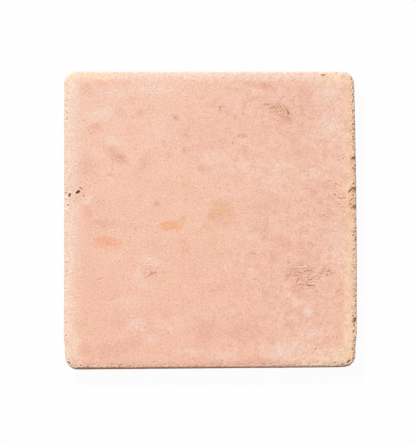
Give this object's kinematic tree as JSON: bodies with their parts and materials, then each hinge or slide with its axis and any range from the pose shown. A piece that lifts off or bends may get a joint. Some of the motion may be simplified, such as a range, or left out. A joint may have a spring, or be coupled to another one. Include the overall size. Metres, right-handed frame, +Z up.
{
  "type": "terracotta floor tile",
  "caption": "Hand-pressed square floor tile of unglazed fired clay, with cushioned edges, rounded corners and worn, flaked arrises.",
  "frame": {"origin": "middle of the tile's outline, on the flat underside that it is bedded on", "axes": "+Z up out of the wearing face, +Y towards the back edge and along the tile's slightly longer side, +X to the right along the front edge"},
  "size_m": [0.2006, 0.204, 0.02],
  "materials": {
    "terracotta": "matt, unglazed pink-buff terracotta with paler edges, orange blooms and fine open pores"
  },
  "bodies": {
    "root": {"floor_tile": "terracotta"}
  },
  "joints": []
}
